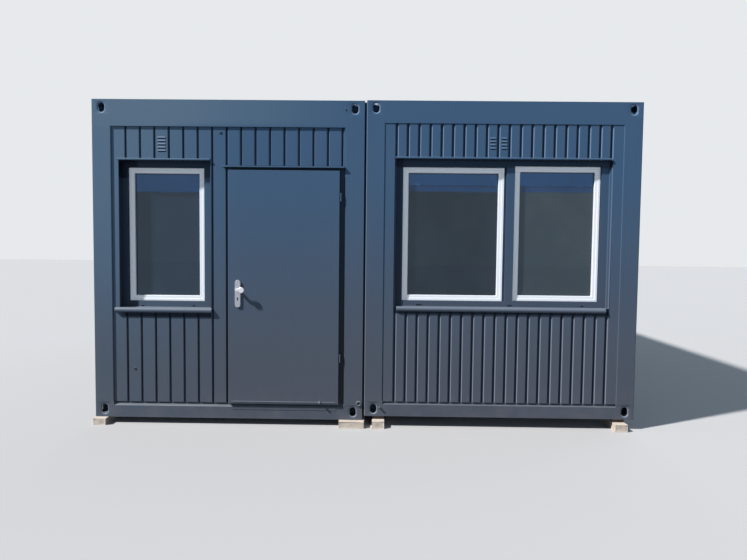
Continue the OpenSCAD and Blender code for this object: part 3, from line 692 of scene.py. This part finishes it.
def mesh_of(name, points, faces):
    """A mesh from its points and faces, which look outwards."""
    mesh = bpy.data.meshes.new(name)
    mesh.from_pydata([tuple(p) for p in points], [], faces)
    mesh.update()
    return reshaped(mesh, lambda work: bmesh.ops.recalc_face_normals(work, faces=work.faces))


def join(meshes, name):
    """One mesh from several."""
    work = bmesh.new()
    for mesh in meshes:
        work.from_mesh(mesh)
    whole = bpy.data.meshes.new(name)
    work.to_mesh(whole)
    work.free()
    return whole


def block(low, high):
    """A plain box as a mesh, to be rounded or joined."""
    (x0, y0, z0), (x1, y1, z1) = low, high
    points = [(x, y, z) for x in (x0, x1) for y in (y0, y1) for z in (z0, z1)]
    sides = [(0, 1, 3, 2), (4, 6, 7, 5), (0, 4, 5, 1), (2, 3, 7, 6), (0, 2, 6, 4), (1, 5, 7, 3)]
    return mesh_of("block", points, sides)


def mitred_ring(x, z, front, profile):
    """A rectangular frame with mitred corners. profile lists (inwards, backwards), closed."""
    points, faces, n = [], [], len(profile)
    for right, up in ((0, 0), (1, 0), (1, 1), (0, 1)):
        for inward, back in profile:
            px = x[1] - inward if right else x[0] + inward
            pz = z[1] - inward if up else z[0] + inward
            points.append((px, front + back, pz))
    for corner in range(4):
        for i in range(n):
            a, b = corner * n, (corner + 1) % 4 * n
            faces.append((a + i, a + (i + 1) % n, b + (i + 1) % n, b + i))
    return mesh_of("ring", points, faces)


def turned(profile, place, steps=20):
    """A lathe shape round -Y at a place: profile lists (radius, out)."""
    points, faces = [], []
    for radius, out in profile:
        for i in range(steps):
            a = 2 * math.pi * i / steps
            points.append((radius * math.cos(a), -out, radius * math.sin(a)))
    for ring in range(len(profile) - 1):
        for i in range(steps):
            a, b = ring * steps, (ring + 1) * steps
            faces.append((a + i, a + (i + 1) % steps, b + (i + 1) % steps, b + i))
    faces.append(tuple(range(steps)))
    faces.append(tuple((len(profile) - 1) * steps + i for i in range(steps)))
    mesh = mesh_of("turned", points, faces)
    mesh.transform(Matrix.Translation(place))
    return mesh


def on_front(side, x, depth, z):
    """A place by a container's own measures in mm: side 0 is the left one and 1 the right one,
    x goes from its left edge, depth back from its front and z up from its foot."""
    return Vector((LEFTS[side] + x / 1000, FRONT + depth / 1000, FOOT[side] + z / 1000))


def side_of(at):
    """The container that a point belongs to: 0 left, 1 right."""
    return 0 if at.x < 0 else 1


# Operators


class CabinOperator(bpy.types.Operator):
    """Shared settings of the cabin's operators."""

    bl_options = {"REGISTER", "UNDO"}


class CABIN_OT_frame(CabinOperator):
    """Corner castings, posts, floor rails and roof beams in painted steel"""

    bl_idname = "cabin.frame"
    bl_label = "Steel frame"

    def execute(self, context):
        for node, name in (
            ("corner_castings", "castings"),
            ("corner_posts", "posts"),
            ("floor_rails", "rails"),
            ("roof_beams", "beams"),
        ):
            shown = piece(name, from_node(node), "painted steel", "cabin", (node,))
            mark(shown, "painted_highlight", self.rim if node == "corner_castings" else self.joint_edge)
            mark(shown, "painted_shadow", self.rail_foot)
            even_shading(shown)
        self.beam_welds()
        self.earthing_boss()
        self.wall_plugs()
        return {"FINISHED"}

    def joint_edge(self, at):
        """The rounded edges of the right container beside the joint, lighter as a painted
        highlight.
        """
        margin = 0.0004
        in_x = margin < at.x - LEFTS[1] < POST_ROUND - margin
        in_y = margin < min(at.y - FRONT, BACK - at.y) < POST_ROUND - margin
        return 0.6 if in_x and in_y else 0.0

    def rim(self, at):
        """The rounded rims of the castings' holes, lighter as a painted highlight, and the edges
        beside the joint."""
        side = side_of(at)
        near, *far = sorted((
            min(at.x - LEFTS[side], LEFTS[side] + MODULE_W - at.x),
            min(at.y - FRONT, BACK - at.y),
            min(at.z - FOOT[side], TOP[side] - at.z),
        ))
        rim_from, rim_to, corner = 0.001, 0.0095, 0.012
        return 1.0 if rim_from < near < rim_to and min(far) > corner else self.joint_edge(at)

    def rail_foot(self, at):
        """Painted shade at the back of the floor rails' sloping lips."""
        side = side_of(at)
        return 0.6 if abs(at.z - FOOT[side] - RAIL_LIP[side]) < 0.001 else 0.0

    def beam_welds(self):
        """Welds that fill the posts' rounded edges beside the roof beams."""
        bars = []
        for left, top, beam, post in zip(LEFTS, TOP, BEAM_H, POST_W):
            for x in (left + post - POST_ROUND, left + MODULE_W - post):
                for y in (FRONT, BACK - POST_ROUND):
                    far = (x + POST_ROUND, y + POST_ROUND, top - CASTING_H)
                    bars.append(block((x, y, top - beam), far))
        piece("beam_welds", join(bars, "beam_welds"), "painted steel")

    def earthing_boss(self):
        """Threaded boss beside the joint, with a painted highlight on its ring and a dark disc as
        the painted shade of its hole, and the casting's stud.
        """
        ring = (
            (0.025, 0), (0.025, 0.008), (0.021, 0.013),
            (0.015, 0.013), (0.012, 0.008), (0.012, 0.001),
        )
        hole = (0.0115, 0), (0.0115, 0.0015), (0.006, 0.002)
        stud = (0.009, 0), (0.009, 0.025), (0.006, 0.027)
        place = on_front(0, 2403, 0, 151)
        shown = piece("earthing_boss", turned(ring, place, 32), "painted steel")
        mark(shown, "painted_highlight", lambda at: 0.35 if at.y < FRONT - 0.007 else 0.0)
        piece("earthing_hole", turned(hole, place), "gasket rubber")
        piece("casting_stud", turned(stud, on_front(1, 140, 0, 80)), "painted steel")

    def wall_plugs(self):
        """Small dark plugs in the walls and on the beam's end."""
        # Radius in m, then the place on the left container.
        plugs = (0.013, 1153, 14, 2571), (0.012, 365, 14, 440), (0.007, 2269, 0, 2778)
        discs = []
        for radius, *place in plugs:
            steps = (1, 0), (1, 0.002), (0.75, 0.004), (0.55, 0.004), (0.45, 0.001)
            disc = [(radius * part, out) for part, out in steps]
            discs.append(turned(disc, on_front(0, *place)))
        piece("wall_plugs", join(discs, "wall_plugs"), "dark steel")


class CABIN_OT_walls(CabinOperator):
    """Ribbed wall panels with folded edges, and their vents"""

    bl_idname = "cabin.walls"
    bl_label = "Ribbed walls"

    # Each panel: how round its folds are, the axis along which it looks out (0 X, 1 Y) and the
    # function that finds its outermost face there.
    PANELS = (
        ("left_window_wall", 1.0, 1, min),
        ("over_door_wall", 1.0, 1, min),
        ("right_window_wall", 0.5, 1, min),
        ("left_side_wall", 1.0, 0, min),
        ("right_side_wall", 0.5, 0, max),
        ("rear_walls", 0.5, 1, max),
    )

    def execute(self, context):
        sizes = context.scene.cabin_sizes
        for node, part, axis, outermost in self.PANELS:
            radius = sizes.fold * part
            shown = rounded(node, node + "_sheet", "painted steel", radius)
            if node in UNDER_SILLS:
                self.mark_sill_shadow(shown, *UNDER_SILLS[node])
            self.mark_grooves(shown, axis, outermost)
        shown = rounded("vents", "vent_slats", "painted steel", sizes.fitting)
        # The slats' fronts carry a painted highlight.
        mark(shown, "painted_highlight", lambda at: 0.45 if at.y < VENT_LIP_Y[side_of(at)] else 0.0)
        self.vent_openings()
        return {"FINISHED"}

    def mark_sill_shadow(self, shown, sill, shadow_full, shadow_end):
        """The wall under a sill, as wide as its hole: the sill's painted shadow, full at first,
        then fading.
        """
        near = 0.002
        corners = [point.co.x for point in shown.data.vertices if abs(point.co.z - sill) < near]
        low, high = min(corners) - near, max(corners) + near
        for depth in (shadow_full, shadow_end):
            cut_across(shown, sill - depth)

        def measure(at):
            return 1.0 if low < at.x < high and -shadow_full - near < at.z - sill < near else 0.0

        mark(shown, "painted_shadow", measure)

    def mark_grooves(self, shown, axis, outermost):
        """Painted shade in the grooves: all that lies behind the outer face of each container's
        panel.
        """
        faces = {}
        for point in shown.data.vertices:
            side, out = side_of(point.co), point.co[axis]
            faces[side] = outermost(faces.get(side, out), out)
        mark(shown, "grime_and_shade", lambda at: 1.0 if abs(at[axis] - faces[side_of(at)]) > 0.004 else 0.0)

    def vent_openings(self):
        """Narrow dark strips under the vents' slats: the painted shade of their openings."""
        inset, sunk, proud, under, high = 0.004, 0.0005, 0.0006, 0.0005, 0.007
        strips = []
        for side in (0, 1):
            own = [at.co for at in NODES["vents"].data.vertices if side_of(at.co) == side]
            front, back = min(at.y for at in own), max(at.y for at in own)
            ends = sorted({round(at.x, 4) for at in own})
            lips = sorted({round(at.z, 4) for at in own if at.y < front + 0.001})[::2]
            for left, right in zip(ends[::2], ends[1::2]):
                for z in lips:
                    low = (left + inset, back - proud, z - high)
                    strips.append(block(low, (right - inset, back + sunk, z - under)))
        piece("vent_openings", join(strips, "vent_openings"), "painted opening shade")


class CABIN_OT_windows(CabinOperator):
    """Recesses, sills, rain strips, white frames, gaskets and double glazing"""

    bl_idname = "cabin.windows"
    bl_label = "Windows"

    FRAMES = ("left_window_frame", "wide_window_frame", "narrow_window_frame")
    # Drain slots in mm: container, middle, depth, height and width.
    SLOTS = (
        (0, 411, 84, 1012, 26),
        (0, 882, 84, 1015, 26),
        (1, 485, 45, 1013, 50),
        (1, 1305, 45, 1014, 42),
        (1, 1957, 45, 1016, 26),
    )

    def execute(self, context):
        sizes = context.scene.cabin_sizes
        for node in ("window_sills", "window_rain_strips"):
            steel = node + "_steel"
            shown = rounded(node, steel, "painted steel", sizes.trim)
            # The sills' fronts carry a painted highlight.
            wear_and_highlight = 0.35 if node == "window_sills" else 0.0
            mark(shown, "painted_highlight", lambda at: wear_and_highlight if at.y < FRONT - 0.004 else 0.0)
        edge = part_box("right_window_surround")[1].x
        for node in ("left_window_surround", "right_window_surround"):
            steel = node + "_steel"
            shown = rounded(node, steel, "recess steel", sizes.trim)
            self.mark_right_side(shown, edge)
        for node in self.FRAMES:
            self.frame(node, sizes)
        self.glass(sizes)
        self.drain_slots()
        return {"FINISHED"}

    def mark_right_side(self, shown, edge):
        """The folded side of the right recess, lighter along both its edges as a painted highlight.
        """
        wide, deep = 0.021, 0.0445
        mark(shown, "painted_highlight", lambda at: 0.35 if at.x > edge - wide and at.y < FRONT + deep else 0.0)

    def frame(self, node, sizes):
        """A fixed case round a sash that stands a step further back, with its gasket."""
        low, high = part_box(node)
        x, z = (low.x, high.x), (low.z, high.z)
        case, edge, deep = sizes.case, sizes.case + sizes.sash, high.y - low.y
        ease, step = 0.002, 0.004
        outer = (
            (0, deep), (0, ease), (ease, 0), (case - ease, 0), (case, 0.0015), (case, deep)
        )
        inner = (
            (case, deep), (case, step), (case + ease, step), (edge - step, step),
            (edge, step * 2), (edge, GLASS_DEPTH - 0.001),
            (edge - ease, GLASS_DEPTH + 0.001), (edge - ease, deep),
        )
        ring = join([mitred_ring(x, z, low.y, profile) for profile in (outer, inner)], node)
        shown = piece(node + "_plastic", ring, "white plastic", "cabin", (node,))
        fold_edges(shown, radius=0.0006)
        seal = (
            (edge - 0.0015, GLASS_DEPTH - 0.0045), (edge - 0.0015, GLASS_DEPTH + 0.0005),
            (edge + 0.004, GLASS_DEPTH + 0.0005), (edge + 0.004, GLASS_DEPTH - 0.0025),
        )
        piece(node + "_gasket", mitred_ring(x, z, low.y, seal), "gasket rubber")

    def glass(self, sizes):
        """Two panes in each frame, with a metal spacer between them."""
        edge, pane = sizes.case + sizes.sash, sizes.pane
        second, spacer_w = 0.018, 0.010
        spacer = (0, pane), (spacer_w, pane), (spacer_w, second), (0, second)
        panes, bars = [], []
        for node in self.FRAMES:
            low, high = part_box(node)
            front = low.y + GLASS_DEPTH
            x, z = (low.x + edge, high.x - edge), (low.z + edge, high.z - edge)
            for back in (0, second):
                near, far = front + back, front + back + pane
                panes.append(block((x[0], near, z[0]), (x[1], far, z[1])))
            bars.append(mitred_ring(x, z, front, spacer))
        panes = join(panes, "glazing")
        piece("glazing", panes, "dark glass", "cabin", ("window_glass",))
        piece("glazing_spacers", join(bars, "glazing_spacers"), "screw metal")

    def drain_slots(self):
        """Drain slots in the steel borders, just above the sills: dark strips as their painted
        shade.
        """
        half_high, proud, sunk = 4.5, 0.6, 0.5
        strips = []
        for side, x, depth, z, wide in self.SLOTS:
            low = on_front(side, x - wide / 2, depth - proud, z - half_high)
            high = on_front(side, x + wide / 2, depth + sunk, z + half_high)
            strips.append(block(low, high))
        shown = piece("drain_slots", join(strips, "drain_slots"), "painted opening shade")
        fold_edges(shown, radius=0.0004)


class CABIN_OT_door(CabinOperator):
    """Door leaf, frame, hinges and rain strip"""

    bl_idname = "cabin.door"
    bl_label = "Door"

    def execute(self, context):
        sizes = context.scene.cabin_sizes
        trim, board = sizes.trim, sizes.board
        # Jambs and head in dark steel, a shaded copy of the paint: painted shade of the gap round
        # the leaf.
        for node, finish in (
            ("door_jambs", "dark steel"),
            ("door_head", "dark steel"),
            ("door_rain_strip", "painted steel"),
        ):
            rounded(node, node + "_steel", finish, trim)
        rounded("door_threshold", "threshold_bar", "satin metal", trim)
        rounded("door_leaf", "leaf_sheet", "painted steel", sizes.fitting, "door")
        self.hem_and_apron(board)
        self.stay_and_welds()
        rounded("fixed_hinges", "hinge_seats", "painted steel", board)
        rounded("leaf_hinges", "hinge_flaps", "painted steel", board, "door")
        return {"FINISHED"}

    def hem_and_apron(self, edge):
        """The leaf's hem bead with a painted highlight, and the strip on the floor rail under the
        threshold.
        """
        low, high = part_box("door_leaf")
        left, right, foot = low.x + 0.028, high.x - 0.022, FOOT[0]
        bead = block((left, low.y - 0.0025, low.z + 0.021), (right, low.y + 0.004, low.z + 0.032))
        hem = fold_edges(piece("leaf_hem", bead, "painted steel", "door"), radius=0.002)
        mark(hem, "painted_highlight", lambda at: 0.35)
        apron = block((left, FRONT - 0.003, foot + 0.083), (right, FRONT + 0.001, foot + 0.107))
        fold_edges(piece("threshold_apron", apron, "painted steel"), edge)

    def stay_and_welds(self):
        """The stay's rod on the leaf, and two weld beads on the floor rail, both with painted
        highlights.
        """
        rod = (0.010, 0), (0.010, 0.022), (0.007, 0.0245)
        place = on_front(0, 2050, -25, 166)
        stay = piece("door_stay", turned(rod, place), "painted steel", "door")
        mark(stay, "painted_highlight", lambda at: 1.0)
        bead = (0.0065, 0), (0.006, 0.003), (0.003, 0.0055)
        places = on_front(0, 2270, 0, 132), on_front(0, 1219, 13, 136)
        welds = join([turned(bead, place, 16) for place in places], "frame_welds")
        mark(piece("frame_welds", welds, "painted steel"), "painted_highlight", lambda at: 0.9)


class CABIN_OT_handle(CabinOperator):
    """Handle plate, knob, lock cylinder and inner lever"""

    bl_idname = "cabin.handle"
    bl_label = "Handle"

    def execute(self, context):
        edge = context.scene.cabin_sizes.fitting
        rounded("handle_plate", "plate", "satin metal", edge, "door")
        rounded("door_knob", "knob", "knob metal", edge, "door")
        rounded("lock_cylinder", "cylinder", "screw metal", 0.0008, "door")
        self.lock_face()
        rounded("inner_handle", "inner_lever", "satin metal", edge, "door")
        return {"FINISHED"}

    def lock_face(self):
        """The cylinder's dark face, the painted shade of its keyhole: a disc with a foot under it.
        """
        place = on_front(0, 1312, -40, 1101)
        disc = (0.0078, 0), (0.0078, 0.0018), (0.004, 0.0024)
        low, high = Vector((-0.0045, -0.0016, -0.0235)), Vector((0.0045, 0.001, -0.004))
        face = join([turned(disc, place, 24), block(place + low, place + high)], "lock_face")
        piece("lock_face", face, "gasket rubber", "door")


class CABIN_OT_inside(CabinOperator):
    """Linings, ceiling, floor and joint covers"""

    bl_idname = "cabin.inside"
    bl_label = "Inside"

    def execute(self, context):
        edge = context.scene.cabin_sizes.board
        for node in ("front_linings", "side_linings", "rear_linings"):
            rounded(node, node + "_board", "lining board", edge)
        rounded("ceilings", "ceiling_boards", "ceiling board", edge)
        rounded("floor_decks", "floor_covering", "vinyl floor", edge)
        rounded("joint_covers", "joint_strips", "dark steel", edge)
        return {"FINISHED"}


class CABIN_OT_roof(CabinOperator):
    """Seamed roof sheets"""

    bl_idname = "cabin.roof"
    bl_label = "Roof"

    def execute(self, context):
        rounded("roof_sheets", "roof", "zinc sheet", radius=0.002)
        return {"FINISHED"}


class CABIN_OT_blocks(CabinOperator):
    """Concrete blocks with worn edges, and their timber packing"""

    bl_idname = "cabin.blocks"
    bl_label = "Concrete blocks"

    def execute(self, context):
        mesh = reshaped(from_node("foundation_blocks"), self.knocked)
        shown = piece("blocks", mesh, "rough concrete", "cabin", ("foundation_blocks",))
        fold_edges(shown, radius=0.004)
        rounded("timber_packing", "packing", "old timber", radius=0.003)
        return {"FINISHED"}

    def knocked(self, work):
        """Takes an uneven layer off the blocks' sides, and leaves their tops and feet level."""
        coarse, fine, even, uneven = 9, 31, 0.004, 0.008
        bmesh.ops.subdivide_edges(work, edges=work.edges, cuts=9, use_grid_fill=True)
        work.normal_update()
        for point in work.verts:
            at = point.co
            knock = 0.5 + noise.noise(at * coarse) * 0.6 + noise.noise(at * fine) * 0.4
            outwards = Vector((point.normal.x, point.normal.y, 0))
            point.co -= outwards * (even + uneven * max(0, knock))


class CABIN_OT_stage(CabinOperator):
    """Floor, lights, world and camera"""

    bl_idname = "cabin.stage"
    bl_label = "Studio"

    def execute(self, context):
        scene, studio = context.scene, context.scene.cabin_studio
        self.floor(scene, studio.floor)
        key = studio.key
        self.lamp("key", key, angle=0.05, towards=(2.0, 1.0, -2.1))
        self.lamp("front_fill", key * 0.12, angle=0.8, towards=(-0.25, 1.0, -0.05))
        self.lamp("back_fill", key * 0.14, angle=1.2, towards=(-0.5, -1.0, -0.7))
        self.world(scene, studio.fill)
        self.camera(scene)
        scene.view_settings.view_transform = "Standard"
        return {"FINISHED"}

    def floor(self, scene, colour):
        """A wide level floor under the blocks."""
        reach = 60
        corners = (-reach, -reach, 0), (reach, -reach, 0), (reach, reach, 0), (-reach, reach, 0)
        mesh = mesh_of("floor", corners, [(0, 1, 2, 3)])
        mesh.materials.append(studio_floor("studio floor", colour))
        ground = bpy.data.objects.new("floor", mesh)
        scene.collection.objects.link(ground)

    def lamp(self, name, strength, angle, towards):
        """A lamp far away. The fills are bluish, and metal and glass don't mirror them."""
        data = bpy.data.lights.new(name, "SUN")
        data.energy, data.angle = strength, angle
        shown = bpy.data.objects.new(name, data)
        shown.rotation_euler = Vector(towards).to_track_quat("-Z", "Y").to_euler()
        if name != "key":
            data.color = (0.64, 0.82, 1.0)
            shown.visible_glossy = False
        bpy.context.scene.collection.objects.link(shown)

    def world(self, scene, fill):
        """A pale backdrop to look at, and a bluish light from all round."""
        scene.world = bpy.data.worlds.new("studio")
        scene.world.use_nodes = True
        s = Sheet(scene.world.node_tree)
        backdrop = s.add("ShaderNodeBackground", {}, {"Color": (0.80, 0.82, 0.84), "Strength": 1.0})
        light = s.tree.nodes["Background"]
        s.set(light.inputs["Color"], (0.60, 0.78, 1.0))
        s.set(light.inputs["Strength"], fill)
        sockets = {0: s.seen(), 1: Wire(s, light.outputs[0]), 2: backdrop}
        both = s.add("ShaderNodeMixShader", {}, sockets)
        s.set(s.tree.nodes["World Output"].inputs["Surface"], both)

    def camera(self, scene):
        """The photograph's view, solved from the containers' straight edges."""
        image_w, focal, sensor = 747, 586.4, 36.0  # pixels, pixels and mm
        yaw, pitch, roll = 0.01263, -0.05251, -0.01055
        right, back, up = 2.5928, 5.2524, 1.5518  # from the left container's lower left corner
        data = bpy.data.cameras.new("camera")
        data.sensor_width = sensor
        data.lens = focal * sensor / image_w
        data.clip_start, data.clip_end = 0.05, 300
        shown = bpy.data.objects.new("camera", data)
        shown.matrix_world = (
            Matrix.Translation((LEFT_X + right, FRONT - back, FOOT[0] + up))
            @ Matrix.Rotation(yaw, 4, "Z")
            @ Matrix.Rotation(pitch, 4, "X")
            @ Matrix.Rotation(roll, 4, "Y")
            @ Matrix.Rotation(math.pi / 2, 4, "X")
        )
        scene.collection.objects.link(shown)
        scene.camera = shown


class CABIN_PT_panel(bpy.types.Panel):
    """Lists the cabin's settings and operators"""

    bl_idname = "CABIN_PT_panel"
    bl_label = "Container cabin"
    bl_space_type = "VIEW_3D"
    bl_region_type = "UI"
    bl_category = "Cabin"

    def draw(self, context):
        for name, kind in GROUPS.items():
            for setting in kind.__annotations__:
                self.layout.prop(getattr(context.scene, name), setting)
        for operator in OPERATORS:
            self.layout.operator(operator.bl_idname)


GROUPS = {"cabin_paint": CabinPaint, "cabin_sizes": CabinSizes, "cabin_studio": CabinStudio}
OPERATORS = (
    CABIN_OT_frame,
    CABIN_OT_walls,
    CABIN_OT_windows,
    CABIN_OT_door,
    CABIN_OT_handle,
    CABIN_OT_inside,
    CABIN_OT_roof,
    CABIN_OT_blocks,
    CABIN_OT_stage,
)
CLASSES = (*GROUPS.values(), *OPERATORS, CABIN_PT_panel)


def register():
    for kind in CLASSES:
        bpy.utils.register_class(kind)
    for name, kind in GROUPS.items():
        setattr(bpy.types.Scene, name, bpy.props.PointerProperty(type=kind))


def unregister():
    for name in GROUPS:
        delattr(bpy.types.Scene, name)
    for kind in reversed(CLASSES):
        bpy.utils.unregister_class(kind)


def main():
    register()
    for operator in OPERATORS:
        group, name = operator.bl_idname.split(".")
        getattr(getattr(bpy.ops, group), name)()


if __name__ == "__main__":
    main()
